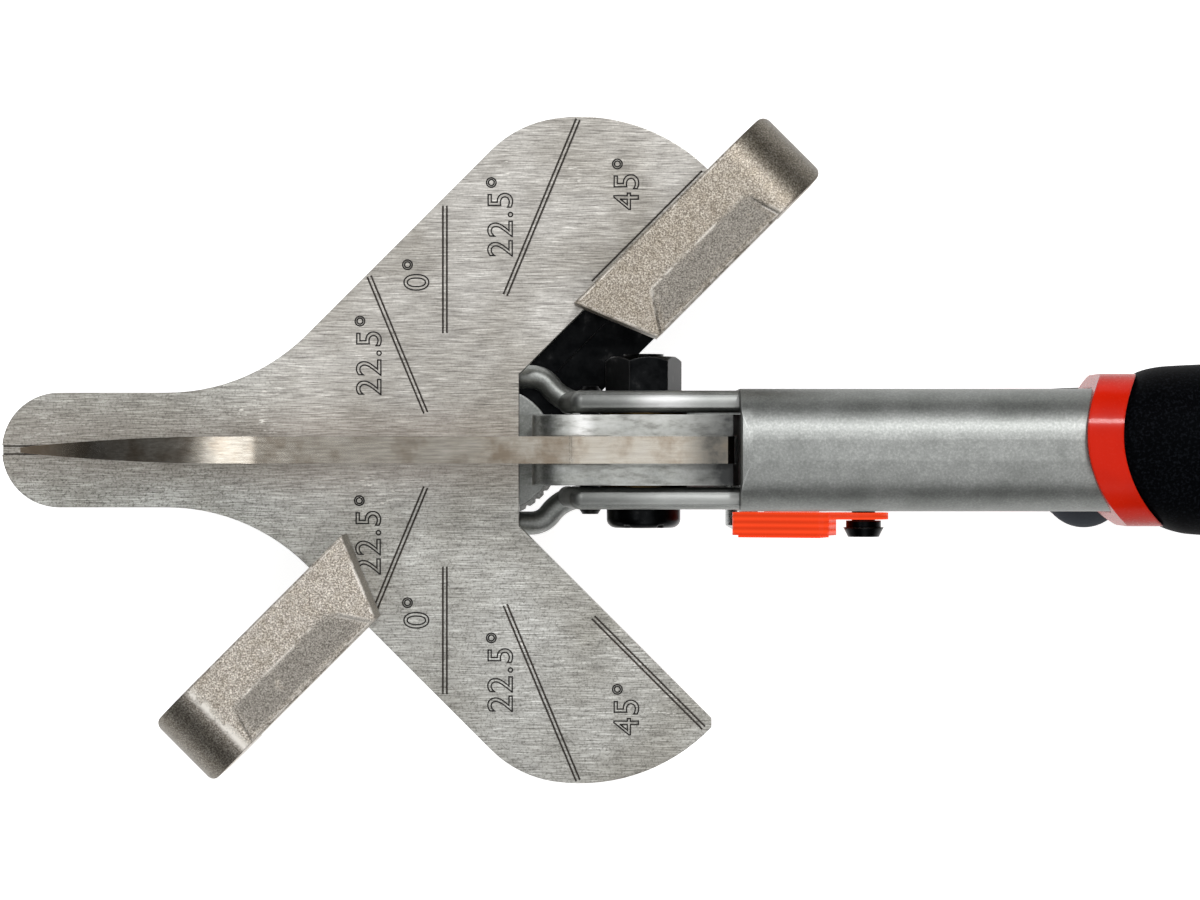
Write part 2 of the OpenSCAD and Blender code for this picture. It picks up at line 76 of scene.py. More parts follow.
def add_node(material, kind, inputs=None, links=None, ramp=None, **settings):
    """One shader node with its settings, its input values, its links from earlier nodes and its colour stops."""
    tree = material.node_tree
    node = tree.nodes.new("ShaderNode" + kind)
    for name, value in settings.items():
        setattr(node, name, value)
    for name, value in (inputs or {}).items():
        node.inputs[name].default_value = value
    for name, source in (links or {}).items():
        tree.links.new(live(source), node.inputs[name])
    if ramp:
        stops = node.color_ramp.elements
        while len(stops) < len(ramp):
            stops.new(0.5)
        for stop, (place, colour) in zip(stops, ramp):
            stop.position = place
            stop.color = linear(colour) if isinstance(colour, str) else (colour, colour, colour, 1.0)
    return node


def join(material, source, shader, socket):
    """Links a node or socket to the shader."""
    material.node_tree.links.new(live(source), shader.inputs[socket])


def new_finish(name, edge_mm, **sockets):
    """A material with plain values on its shader, its coordinates in metres and its normals rounded at the edges."""
    material = bpy.data.materials.new(name)
    material.use_nodes = True
    shader = material.node_tree.nodes["Principled BSDF"]
    for socket, value in sockets.items():
        shader.inputs[socket.replace("_", " ")].default_value = value
    place = add_node(material, "TexCoord").outputs["Object"]
    edge = add_node(material, "Bevel", {"Radius": edge_mm * MM}, samples=4)
    return material, shader, place, edge


def whereabouts(material, place):
    """A point's X, Y and Z in metres, its distance from the middle plane, and how far its surface faces up."""
    axes = add_node(material, "SeparateXYZ", links={"Vector": place}).outputs
    off_middle = add_node(material, "Math", links={0: axes["Y"]}, operation="ABSOLUTE")
    facing = add_node(material, "TexCoord").outputs["Normal"]
    up = add_node(material, "SeparateXYZ", links={"Vector": facing}).outputs["Z"]
    return axes["X"], axes["Y"], axes["Z"], off_middle, up


def zone(material, *spans):
    """A mask that holds where all its spans do.

    A span is an earlier mask, or a value with where it starts and where it is full, and its strength at those two.
    """
    mask = None
    for span in spans:
        if isinstance(span, tuple):
            value, start, full, *strengths = span
            low, high = strengths or (0.0, 1.0)
            span = add_node(material, "MapRange", {"From Min": start, "From Max": full, "To Min": low, "To Max": high},
                            {"Value": value}, interpolation_type="SMOOTHSTEP")
        if mask is not None:
            span = add_node(material, "Math", links={0: mask, 1: span}, operation="MULTIPLY", use_clamp=True)
        mask = span
    return mask


def soft_band(material, value, middle, reach, strength=1.0):
    """A band that is strongest where the value is at its middle and gone at its reach to either side."""
    off = add_node(material, "Math", {1: middle}, {0: value}, operation="SUBTRACT")
    away = add_node(material, "Math", links={0: off}, operation="ABSOLUTE")
    return zone(material, (away, 0.0, reach, strength, 0.0))


def edge_wear(material, edge, start, full):
    """How much of the surface finish is worn off, from none on the flats to all along a sharp edge."""
    flat = add_node(material, "NewGeometry").outputs["True Normal"]
    lean = add_node(material, "VectorMath", links={0: flat, 1: edge}, operation="DOT_PRODUCT")
    return add_node(material, "MapRange", {"From Min": start, "From Max": full}, {"Value": lean})


def surface(material, shader, colour, gloss, roughness, height, relief, normal):
    """Joins a colour, a pattern run between two roughnesses, and a pattern's relief (strength, mm) to the shader."""
    join(material, colour, shader, "Base Color")
    rough = add_node(material, "MapRange", {"To Min": roughness[0], "To Max": roughness[1]}, {"Value": gloss})
    join(material, rough, shader, "Roughness")
    bump = add_node(material, "Bump", {"Strength": relief[0], "Distance": relief[1] * MM},
                    {"Height": height, "Normal": normal})
    join(material, bump, shader, "Normal")
    return bump


def brushed_plate_steel():
    """Cold rolled steel, belt brushed along the tool: fine streaks, soft clouds, rub marks, dark cuts in the face."""
    material, shader, place, edge = new_finish("brushed_plate_steel", 0.15, Metallic=1.0, Anisotropic=0.3)
    x, y, z, off_line, up = whereabouts(material, place)
    # Brush streaks too fine to show, drawn 0.14 mm wide and 3 mm long, over broader ones 0.3 mm wide and 8 mm long
    fine_place = add_node(material, "Mapping", {"Scale": (330, 7000, 330)}, {"Vector": place})
    fine = add_node(material, "TexNoise", {"Scale": 1.0, "Detail": 3.0, "Roughness": 0.6}, {"Vector": fine_place})
    broad_place = add_node(material, "Mapping", {"Scale": (125, 3300, 125)}, {"Vector": place})
    broad = add_node(material, "TexNoise", {"Scale": 1.0, "Detail": 2.0}, {"Vector": broad_place})
    streaks = add_node(material, "Mix", {"Factor": 0.10}, {"A": fine, "B": broad})
    tone = add_node(material, "ValToRGB", links={"Fac": streaks},
                    ramp=[(0.34, "#8d8a86"), (0.46, "#b5b2ad"), (0.55, "#c5c2bd"), (0.67, "#efede8")])
    # Clouds about 16 mm across, where the belt pressed more or less
    clouds = add_node(material, "TexNoise", {"Scale": 62.0, "Detail": 3.0, "Roughness": 0.55}, {"Vector": place})
    cloud_tone = add_node(material, "ValToRGB", links={"Fac": clouds}, ramp=[(0.34, "#dcdad6"), (0.62, "#ffffff")])
    clouded = add_node(material, "Mix", {"Factor": 1.0}, {"A": tone, "B": cloud_tone},
                       data_type="RGBA", blend_type="MULTIPLY")
    # A brown band within 9 mm of the blade line, in clouds: painted reflection and soft shadow of the blade on the
    # plate
    blade_reflection = zone(material, (off_line, 2 * MM, 9 * MM, 0.5, 0.0), clouds)
    blade_reflected = add_node(material, "Mix", {"B": linear("#8d7c70")}, {"Factor": blade_reflection, "A": clouded}, data_type="RGBA")
    # The nose and the latch's side are painted darker
    nose = zone(material, (x, -25 * MM, -45 * MM, 0.0, 0.6))
    latch_side = zone(material, (y, 5 * MM, -15 * MM, 0.0, 0.7))
    nose_and_side_darkening = add_node(material, "Math", links={0: nose, 1: latch_side}, operation="ADD", use_clamp=True)
    darkened_plate = add_node(material, "Mix", {"B": linear("#f3f8fa")}, {"Factor": nose_and_side_darkening, "A": blade_reflected},
                      data_type="RGBA", blend_type="MULTIPLY")
    # Specks of 0.3 mm, where the brushing is worn, most on the darker parts
    specks = add_node(material, "TexNoise", {"Scale": 3200.0, "Detail": 2.0, "Roughness": 0.7}, {"Vector": place})
    speck_tone = add_node(material, "ValToRGB", links={"Fac": specks},
                          ramp=[(0.32, "#a9a8a5"), (0.50, "#f6f5f3"), (0.70, "#ffffff")])
    speck_share = add_node(material, "MapRange", {"To Min": 0.35, "To Max": 1.0}, {"Value": nose_and_side_darkening})
    speckled = add_node(material, "Mix", links={"Factor": speck_share, "A": darkened_plate, "B": speck_tone},
                        data_type="RGBA", blend_type="MULTIPLY")
    # Rub marks 0.25 mm wide and 1.5 mm long that strips of trim leave, in patches about 10 mm across
    skew = add_node(material, "Mapping", {"Rotation": (0, 0, math.radians(58)), "Scale": (650, 3800, 650)},
                    {"Vector": place})
    rubs = add_node(material, "TexNoise", {"Scale": 1.0, "Detail": 2.0}, {"Vector": skew})
    rub_line = add_node(material, "ValToRGB", links={"Fac": rubs}, ramp=[(0.63, 0.0), (0.68, 1.0)])
    spots = add_node(material, "TexNoise", {"Scale": 105.0, "Detail": 1.0}, {"Vector": place})
    spot_mask = add_node(material, "ValToRGB", links={"Fac": spots}, ramp=[(0.62, 0.0), (0.74, 1.0)])
    worn = add_node(material, "Mix", {"B": linear("#e4e1da")},
                    {"Factor": zone(material, rub_line, spot_mask), "A": speckled}, data_type="RGBA")
    # Scribed lines, up to 0.3 mm deep, hold dark oil just below the face
    below = add_node(material, "MapRange", {"From Min": FACE_Z - 0.06 * MM, "From Max": FACE_Z - 0.02 * MM,
                                            "To Min": 1.0, "To Max": 0.0}, {"Value": z})
    deepest = FACE_Z - 0.3 * MM
    scribed = zone(material, below, (z, deepest, deepest + SHARP))
    # The two bottom corners of the groove for the blade's edge are darkened the same way, as painted shade
    inner, outer = 0.48 * MM, 0.72 * MM
    groove_corner_shade = zone(material, (up, 0.5, 0.5 + SHARP), (off_line, inner, inner + SHARP),
                   (off_line, outer, outer - SHARP), below)
    # Painted shade in the groove's corners is joined to the oil in the scribed lines
    cut = add_node(material, "Math", links={0: scribed, 1: groove_corner_shade}, operation="MAXIMUM")
    oiled = add_node(material, "Mix", {"B": linear("#423e3a")}, {"Factor": cut, "A": worn}, data_type="RGBA")
    surface(material, shader, oiled, streaks, (0.30, 0.44), streaks, (0.22, 0.02), edge)
    return material


def ground_blade_steel():
    """Ground tool steel, oiled: warm grey with a near mirror on the spine, faint grinding lines, a few brown stains."""
    material, shader, place, edge = new_finish("ground_blade_steel", 0.06)
    x, _, _, _, up = whereabouts(material, place)
    # Grinding lines 0.3 mm apart and 4 mm long
    lines = add_node(material, "Mapping", {"Scale": (250, 3300, 3300)}, {"Vector": place})
    grind = add_node(material, "TexNoise", {"Scale": 1.0, "Detail": 3.0}, {"Vector": lines})
    tone = add_node(material, "ValToRGB", links={"Fac": grind}, ramp=[(0.32, "#948f87"), (0.68, "#b0aca4")])
    # From 11 mm behind the stop pivot, towards the cheeks, it is painted paler: painted light that lifts the shade near
    # the head
    head_light_lift = zone(material, (x, -8 * MM, 11 * MM, 0.0, 0.42))
    paler = add_node(material, "Mix", {"B": linear("#d2cdc3")}, {"Factor": head_light_lift, "A": tone}, data_type="RGBA")
    # Stains about 6 mm across
    stains = add_node(material, "TexNoise", {"Scale": 165.0, "Detail": 5.0, "Roughness": 0.65}, {"Vector": place})
    stain_tone = add_node(material, "ValToRGB", links={"Fac": stains},
                          ramp=[(0.34, "#b8a590"), (0.52, "#f4f1ec"), (0.7, "#ffffff")])
    stained = add_node(material, "Mix", {"Factor": 0.75}, {"A": paler, "B": stain_tone},
                       data_type="RGBA", blend_type="MULTIPLY")
    # Painted shadow of the handle darkens the root in blotches, from 28 mm behind the stop pivot
    root_shadow = add_node(material, "MapRange", {"From Min": 28 * MM, "From Max": 33 * MM, "To Max": 1.9}, {"Value": x})
    shadowed = add_node(material, "Mix", {"B": linear("#4b4a47")},
                       {"Factor": zone(material, root_shadow, stains), "A": stained}, data_type="RGBA")
    # A brown oil film dulls the last 10 mm at the tip
    film = zone(material, (x, -58 * MM, -69 * MM, 0.0, 0.8))
    filmed = add_node(material, "Mix", {"B": linear("#8a7a68")}, {"Factor": film, "A": shadowed}, data_type="RGBA")
    bare = add_node(material, "MapRange", {"To Min": 1.0, "To Max": 0.4}, {"Value": film})
    join(material, bare, shader, "Metallic")
    # The ground front of the spine runs out softly behind its edge, which lies 36 mm before the stop pivot
    front_end = -36.1 * MM
    uneven = add_node(material, "Math", {1: 2 * MM}, {0: stains, 2: x}, operation="MULTIPLY_ADD")
    run_out = zone(material, (x, front_end, front_end + SHARP), (uneven, -34.2 * MM, -32.4 * MM, 1.0, 0.0),
                   (up, 0.9, 0.9 + SHARP))
    front_facing = add_node(material, "VectorTransform", {"Vector": (-0.1, 0.0, 0.995)}, vector_type="NORMAL",
                            convert_from="OBJECT", convert_to="WORLD")
    rolled = add_node(material, "Mix", links={"Factor": run_out, "A": edge, "B": front_facing}, data_type="VECTOR")
    # The small step up to the head, 12 mm behind the stop pivot, is dressed round
    step = zone(material, (up, 0.5, 0.5 + SHARP), soft_band(material, x, 12.2 * MM, 0.9 * MM))
    level_facing = add_node(material, "VectorTransform", {"Vector": (-0.05, 0.0, 0.999)}, vector_type="NORMAL",
                            convert_from="OBJECT", convert_to="WORLD")
    dressed = add_node(material, "Mix", links={"Factor": step, "A": rolled, "B": level_facing}, data_type="VECTOR")
    surface(material, shader, filmed, stains, (0.12, 0.30), grind, (0.25, 0.015), dressed)
    return material


def tumbled_die_casting():
    """Die-cast alloy, tumbled: satin neutral grey with a fine speckle, rounded edges polished paler."""
    material, shader, place, edge = new_finish("tumbled_die_casting", 0.4, Metallic=1.0)
    x, y, z, off_middle, up = whereabouts(material, place)
    head = zone(material, (x, HANDLE_X, HANDLE_X - SHARP))
    handle = zone(material, (x, HANDLE_X, HANDLE_X + SHARP))
    nut_side = zone(material, (y, 0.0, SHARP))
    # Speckle of 0.35 mm from the tumbling stones
    grain = add_node(material, "TexNoise", {"Scale": 2900.0, "Detail": 2.0, "Roughness": 0.6}, {"Vector": place})
    tone = add_node(material, "ValToRGB", links={"Fac": grain},
                    ramp=[(0.30, "#8f918f"), (0.52, "#9b9d9b"), (0.74, "#abadaa")])
    # Flow marks about 5 mm across
    flow = add_node(material, "TexNoise", {"Scale": 190.0, "Detail": 4.0, "Roughness": 0.6}, {"Vector": place})
    shade = add_node(material, "ValToRGB", links={"Fac": flow}, ramp=[(0.32, "#d8d9d8"), (0.66, "#ffffff")])
    mottled = add_node(material, "Mix", {"Factor": 1.0}, {"A": tone, "B": shade},
                       data_type="RGBA", blend_type="MULTIPLY")
    polished = add_node(material, "Mix", {"B": linear("#c8cac8")},
                        {"Factor": edge_wear(material, edge, 0.985, 0.86), "A": mottled}, data_type="RGBA")
    # The cheeks of the lever are paler, painted paler still towards the nut's side as painted light, with a painted
    # highlight on the front end of the one on the nut's side
    cheeks = zone(material, head, (off_middle, CHEEK_Y, CHEEK_Y - SHARP))
    cheek_paling_and_light = zone(material, cheeks, (y, -2 * MM, 6 * MM, 0.4, 0.95), (x, 9 * MM, 13 * MM), (flow, 0.3, 0.55, 0.6, 1.0))
    cheeks_paled_and_lit = add_node(material, "Mix", {"B": linear("#c6c7c4")}, {"Factor": cheek_paling_and_light, "A": polished}, data_type="RGBA")
    cheek_highlight = zone(material, cheeks, soft_band(material, x, 13.9 * MM, 2.4 * MM, 0.8), nut_side)
    cheek_highlighted = add_node(material, "Mix", {"B": linear("#ffffff")}, {"Factor": cheek_highlight, "A": cheeks_paled_and_lit}, data_type="RGBA")
    # The crowns of the ears beside them carry painted light and shade: a painted rounding across each crown, darker at
    # the front and paler to the rear, with a painted highlight at the middle of the one on the nut's side
    ear = zone(material, head, soft_band(material, off_middle, 7.15 * MM, 1.9 * MM),
               (z, FACE_Z + 13 * MM, FACE_Z + 16 * MM, 0.0, 0.85))
    along_ear = add_node(material, "MapRange", {"From Min": 12 * MM, "From Max": 37 * MM}, {"Value": x})
    ear_light_tone = add_node(material, "ValToRGB", links={"Fac": along_ear},
                        ramp=[(0.04, "#666866"), (0.32, "#8b8d8b"), (0.56, "#b6b8b6"), (1.0, "#bcbebc")])
    wear_and_painted_light = add_node(material, "Mix", links={"Factor": ear, "A": cheek_highlighted, "B": ear_light_tone}, data_type="RGBA")
    ear_highlight = zone(material, ear, soft_band(material, x, 26 * MM, 7 * MM, 0.85), nut_side)
    ear_highlighted = add_node(material, "Mix", {"B": linear("#ffffff")}, {"Factor": ear_highlight, "A": wear_and_painted_light}, data_type="RGBA")
    # Scuffs 1 mm wide and 3 mm long mark the cheeks, and the ears a little
    scuff_place = add_node(material, "Mapping", {"Scale": (330, 1000, 1000)}, {"Vector": place})
    scuffs = add_node(material, "TexNoise", {"Scale": 1.0, "Detail": 4.0, "Roughness": 0.65}, {"Vector": scuff_place})
    scuff_tone = add_node(material, "ValToRGB", links={"Fac": scuffs},
                          ramp=[(0.32, "#bfbebb"), (0.50, "#eeeeec"), (0.68, "#ffffff")])
    scuff_share = add_node(material, "Math", {1: 0.75, 2: 0.25}, {0: cheeks}, operation="MULTIPLY_ADD")
    scuffed = add_node(material, "Mix", links={"Factor": zone(material, head, scuff_share), "A": ear_highlighted,
                                               "B": scuff_tone}, data_type="RGBA", blend_type="MULTIPLY")
    # Painted shadow of the handle's mouth darkens the cheeks in blotches, from 27 mm behind the stop pivot to the
    # handle
    back = add_node(material, "MapRange", {"From Min": 27 * MM, "From Max": 35 * MM, "To Max": 1.8}, {"Value": x})
    shadowed = add_node(material, "Mix", {"B": linear("#3c3d3d")},
                       {"Factor": zone(material, back, flow, cheeks), "A": scuffed}, data_type="RGBA")
    # The flanks of the handle are painted darker than its top: painted shade
    handle_flank_shade = zone(material, handle, (off_middle, 3.5 * MM, 7 * MM))
    flank_shaded = add_node(material, "Mix", {"B": linear("#cdcecd")}, {"Factor": handle_flank_shade, "A": shadowed},
                       data_type="RGBA", blend_type="MULTIPLY")
    # The crown of each cheek is dressed flat, and the handle's rounded mouth runs on from the arch behind it
    arch_z, arch_lean = FACE_Z + 20 * MM, 0.09 / MM
    crown = zone(material, cheeks, (up, 0.9, 0.9 + SHARP), (x, 17.5 * MM, 18.5 * MM))
    mouth = zone(material, handle, (x, 38.8 * MM, 38.4 * MM), (up, 0.4, 0.4 + SHARP), (z, arch_z, arch_z + SHARP),
                 (off_middle, 5.2 * MM, 6.6 * MM, 1.0, 0.0))
    either = add_node(material, "Math", links={0: crown, 1: mouth}, operation="MAXIMUM")
    lean = add_node(material, "Math", {1: arch_lean}, {0: y}, operation="MULTIPLY")
    own_lean = add_node(material, "Math", links={0: lean, 1: handle}, operation="MULTIPLY")
    own_facing = add_node(material, "CombineXYZ", {"Z": 1.0}, {"Y": own_lean})
    dressed_facing = add_node(material, "VectorTransform", links={"Vector": own_facing}, vector_type="NORMAL",
                              convert_from="OBJECT", convert_to="WORLD")
    dressed = add_node(material, "Mix", links={"Factor": either, "A": edge, "B": dressed_facing}, data_type="VECTOR")
    surface(material, shader, flank_shaded, flow, (0.40, 0.54), grain, (0.14, 0.03), dressed)
    return material


def sand_cast_steel():
    """Investment-cast steel, bead blasted: a warm grey skin with a sandy sparkle, bright where the edges rub, with a
    painted highlight at one bend and painted shade on the rounded ends.
    """
    material, shader, place, edge = new_finish("sand_cast_steel", 0.7, Metallic=0.9)
    _, y, _, _, _ = whereabouts(material, place)
    # Grit of 0.24 mm, and faint lumps of 1.5 mm
    pits = add_node(material, "TexNoise", {"Scale": 4200.0, "Detail": 3.0, "Roughness": 0.75}, {"Vector": place})
    tone = add_node(material, "ValToRGB", links={"Fac": pits},
                    ramp=[(0.35, "#766e65"), (0.50, "#b2aaa0"), (0.65, "#faf4ea")])
    lumps = add_node(material, "TexNoise", {"Scale": 650.0, "Detail": 2.0}, {"Vector": place})
    shade = add_node(material, "ValToRGB", links={"Fac": lumps}, ramp=[(0.32, "#f0eeea"), (0.62, "#ffffff")])
    lumpy = add_node(material, "Mix", {"Factor": 1.0}, {"A": tone, "B": shade}, data_type="RGBA", blend_type="MULTIPLY")
    # The arm on the nut's side is painted a little darker
    tone_and_shade = add_node(material, "Mix", {"B": linear("#dcdad6")},
                       {"Factor": zone(material, (y, 0.0, SHARP)), "A": lumpy}, data_type="RGBA", blend_type="MULTIPLY")
    # The facet that falls 7 degrees to the rear was pressed smoother and greyer than the rest, with a ragged edge
    softened = add_node(material, "Bevel", {"Radius": 1.6 * MM}, samples=4)
    own_facing = add_node(material, "VectorTransform", links={"Vector": softened}, vector_type="NORMAL",
                          convert_from="WORLD", convert_to="OBJECT")
    lean = add_node(material, "VectorMath", {1: (0.0862, -0.0862, 0.9925)}, {0: own_facing}, operation="DOT_PRODUCT")
    rags = add_node(material, "TexNoise", {"Scale": 420.0, "Detail": 4.0, "Roughness": 0.65}, {"Vector": place})
    ragged = add_node(material, "Math", {1: 0.012}, {0: rags, 2: lean}, operation="MULTIPLY_ADD")
    facet_tone = add_node(material, "ValToRGB", links={"Fac": pits}, ramp=[(0.36, "#57534d"), (0.64, "#aaa59d")])
    pressed = add_node(material, "Mix", links={"Factor": zone(material, (ragged, 1.0026, 1.0052, 0.0, 0.85)),
                                               "A": tone_and_shade, "B": facet_tone}, data_type="RGBA")
    # The rounded end, more than 57 mm out, where it faces along the bar, is painted darker: painted shade on its slope
    facing = add_node(material, "TexCoord").outputs["Normal"]
    along = add_node(material, "VectorMath", {1: ALONG_BAR}, {0: facing}, operation="DOT_PRODUCT")
    turned = add_node(material, "Math", links={0: along}, operation="ABSOLUTE")
    reach = add_node(material, "VectorMath", {1: ALONG_BAR}, {0: place}, operation="DOT_PRODUCT")
    far = add_node(material, "Math", links={0: reach}, operation="ABSOLUTE")
    end = zone(material, (turned, 0.05, 0.45, 0.0, 0.8), (far, 56 * MM, 57.5 * MM))
    skin = add_node(material, "Mix", {"B": linear("#8b8a85")}, {"Factor": end, "A": pressed},
                    data_type="RGBA", blend_type="MULTIPLY")
    # Ridges are rubbed bright in stretches about 4 mm long beside the facet; the bend on the latch's side has a painted
    # highlight
    stretches = add_node(material, "TexNoise", {"Scale": 260.0, "Detail": 3.0, "Roughness": 0.7}, {"Vector": place})
    stretch_mask = add_node(material, "ValToRGB", links={"Fac": stretches}, ramp=[(0.46, 0.0), (0.54, 1.0)])
    ridge = zone(material, edge_wear(material, edge, 0.9990, 0.9970), stretch_mask, (turned, 0.03, 0.10, 1.0, 0.0))
    bend = zone(material, soft_band(material, turned, 0.11, 0.11), (far, 54 * MM, 56 * MM), (y, 0.0, -SHARP),
                (rags, 0.35, 0.5))
    ridge_wear_and_highlight = add_node(material, "Math", links={0: ridge, 1: bend}, operation="MAXIMUM")
    wear_and_painted_light = add_node(material, "Mix", {"B": linear("#fffaf2")}, {"Factor": ridge_wear_and_highlight, "A": skin}, data_type="RGBA")
    height = add_node(material, "Math", links={0: pits, 1: lumps}, operation="ADD")
    surface(material, shader, wear_and_painted_light, pits, (0.38, 0.54), height, (0.4, 0.06), edge)
    return material


def black_oxide_steel():
    """Blackened steel, oiled: near black with a soft sheen, greyer in patches and along edges where it has worn."""
    material, shader, place, edge = new_finish("black_oxide_steel", 0.3, Metallic=1.0)
    # Rubbed patches about 3 mm across, on a skin of 0.4 mm grain
    patches = add_node(material, "TexNoise", {"Scale": 330.0, "Detail": 4.0, "Roughness": 0.65}, {"Vector": place})
    tone = add_node(material, "ValToRGB", links={"Fac": patches},
                    ramp=[(0.40, "#0a0b0c"), (0.60, "#161718"), (0.78, "#383838")])
    wear_and_painted_light = add_node(material, "Mix", {"B": linear("#4a4a4a")},
                      {"Factor": edge_wear(material, edge, 0.97, 0.80), "A": tone}, data_type="RGBA")
    skin = add_node(material, "TexNoise", {"Scale": 2500.0, "Detail": 1.0}, {"Vector": place})
    surface(material, shader, wear_and_painted_light, patches, (0.20, 0.42), skin, (0.15, 0.03), edge)
    return material


def turned_metal(name, dark, light, rough):
    """Plated or turned metal: bright, with turning marks too fine to see drawn 0.4 mm apart."""
    material, shader, place, edge = new_finish(name, 0.2, Metallic=1.0)
    turned = add_node(material, "TexNoise", {"Scale": 2500.0, "Detail": 2.0}, {"Vector": place})
    tone = add_node(material, "ValToRGB", links={"Fac": turned}, ramp=[(0.35, dark), (0.65, light)])
    surface(material, shader, tone, turned, (rough, rough + 0.14), turned, (0.12, 0.02), edge)
    return material


def moulded_red_plastic():
    """Polypropylene, gloss moulded: a strong orange red, uneven where it cooled, with painted shade on its flanks and a
    painted glow standing in for light, strongest in the latch.
    """
    material, shader, place, edge = new_finish("moulded_red_plastic", 0.5, IOR=1.49, Specular_IOR_Level=0.06,
                                               Coat_Weight=0.05, Coat_Roughness=0.1, Emission_Color=linear("#ff5228"))
    x, y, _, _, up = whereabouts(material, place)
    # Sink ripples about 6 mm across and a fine 0.5 mm skin
    ripples = add_node(material, "TexNoise", {"Scale": 160.0, "Detail": 2.0}, {"Vector": place})
    tone = add_node(material, "ValToRGB", links={"Fac": ripples}, ramp=[(0.3, "#c81802"), (0.7, "#d41c03")])
    skin = add_node(material, "TexNoise", {"Scale": 2000.0, "Detail": 1.0}, {"Vector": place})
    # The upright flanks are painted darker: painted shade
    red_flank_shade = zone(material, (up, 0.2, 0.7, 0.7, 0.0))
    tone_and_shade = add_node(material, "Mix", {"B": linear("#7d1204")}, {"Factor": red_flank_shade, "A": tone}, data_type="RGBA")
    relief = surface(material, shader, tone_and_shade, skin, (0.20, 0.32), ripples, (0.10, 0.12), edge)
    # Ribs 0.95 mm apart run along the latch, which lies before the collars
    collars_x, rib_pitch = 70 * MM, 0.95 * MM
    latch = zone(material, (x, collars_x, collars_x - SHARP))
    across = add_node(material, "Math", {1: 2 * math.pi / rib_pitch}, {0: y}, operation="MULTIPLY")
    wave = add_node(material, "Math", links={0: across}, operation="SINE")
    rib = add_node(material, "Math", links={0: wave, 1: latch}, operation="MULTIPLY")
    ribbed = add_node(material, "Bump", {"Strength": 0.6, "Distance": 0.12 * MM}, {"Height": rib, "Normal": relief})
    join(material, ribbed, shader, "Normal")
    # A painted glow, standing in for light, is strongest in the latch, on its ribs, and faint on the collars
    painted_glow_share = add_node(material, "MapRange", {"To Min": 0.04, "To Max": 0.64}, {"Value": latch})
    glow = add_node(material, "Math", {1: 0.14}, {0: rib, 2: painted_glow_share}, operation="MULTIPLY_ADD")
    join(material, glow, shader, "Emission Strength")
    return material


def moulded_black_rubber():
    """Thermoplastic rubber moulded over the handle: deep black, matte, with a spark-eroded skin."""
    material, shader, place, edge = new_finish("moulded_black_rubber", 0.5, IOR=1.5, Specular_IOR_Level=0.01)
    x, y, z, _, _ = whereabouts(material, place)
    # Skin grain of 0.4 mm and dull patches about 15 mm across, from handling
    skin = add_node(material, "TexNoise", {"Scale": 2500.0, "Detail": 2.0, "Roughness": 0.6}, {"Vector": place})
    grain = add_node(material, "ValToRGB", links={"Fac": skin}, ramp=[(0.50, "#000000"), (0.72, "#131519")])
    tone_and_shade = add_node(material, "TexNoise", {"Scale": 65.0, "Detail": 3.0}, {"Vector": place})
    tone = add_node(material, "ValToRGB", links={"Fac": tone_and_shade}, ramp=[(0.35, "#010102"), (0.70, "#050608")])
    grained = add_node(material, "Mix", {"Factor": 1.0}, {"A": tone, "B": grain}, data_type="RGBA", blend_type="ADD")
    # The lobe at the front of the lower sleeve, on the latch's side, is painted a paler blue grey
    lobe = zone(material, (z, FACE_Z, FACE_Z - SHARP), (x, 99 * MM, 95 * MM, 0.0, 0.75), (y, -8 * MM, -9.8 * MM))
    lobe_greyed = add_node(material, "Mix", {"B": linear("#4a4e54")}, {"Factor": lobe, "A": grained}, data_type="RGBA")
    surface(material, shader, lobe_greyed, tone_and_shade, (0.46, 0.64), skin, (0.5, 0.08), edge)
    return material


def engraving_oil():
    """The dark line that an engraving tool leaves: oxide and oil in a shallow cut, a little uneven."""
    material, shader, place, edge = new_finish("engraving_oil", 0.05, Metallic=0.3)
    # Residue in 1 mm patches
    residue = add_node(material, "TexNoise", {"Scale": 900.0, "Detail": 2.0}, {"Vector": place})
    tone = add_node(material, "ValToRGB", links={"Fac": residue}, ramp=[(0.35, "#131211"), (0.75, "#36332f")])
    surface(material, shader, tone, residue, (0.45, 0.7), residue, (0.2, 0.02), edge)
    return material


casting = tumbled_die_casting()
bright_steel = turned_metal("bright_zinc_steel", "#a5a8a8", "#c9cbca", 0.20)
rubber = moulded_black_rubber()
cut_line = engraving_oil()
finishes = {
    "cast_alloy": casting,
    "plate_steel": brushed_plate_steel(),
    "blade_steel": ground_blade_steel(),
    "black_steel": black_oxide_steel(),
    "bright_steel": bright_steel,
    "knurled_steel": turned_metal("turned_knob_steel", "#6d6e6c", "#8f908d", 0.28),
    "bare_casting": sand_cast_steel(),
    "bearing_brass": turned_metal("oiled_washer_brass", "#54452b", "#6c5a39", 0.34),
    "red_plastic": moulded_red_plastic(),
    "black_rubber": rubber,
}
for entry in frame["record"]["subparts"]:
    node = frame["nodes"][entry["node"]]
    node.data.materials.clear()
    node.data.materials.append(finishes[entry["material_slot"]])


def new_object(name, data):
    """An object in the scene that holds a mesh, a curve, a light or a camera."""
    holder = bpy.data.objects.new(name, data)
    bpy.context.scene.collection.objects.link(holder)
    return holder


def mesh_piece(name, points, faces, material):
    """A new smooth piece from points in millimetres, with its faces turned outwards by their order."""
    mesh = bpy.data.meshes.new(name)
    mesh.from_pydata([Vector(p) * MM for p in points], [], faces)
    mesh.materials.append(material)
    for face in mesh.polygons:
        face.use_smooth = True
    return new_object(name, mesh)


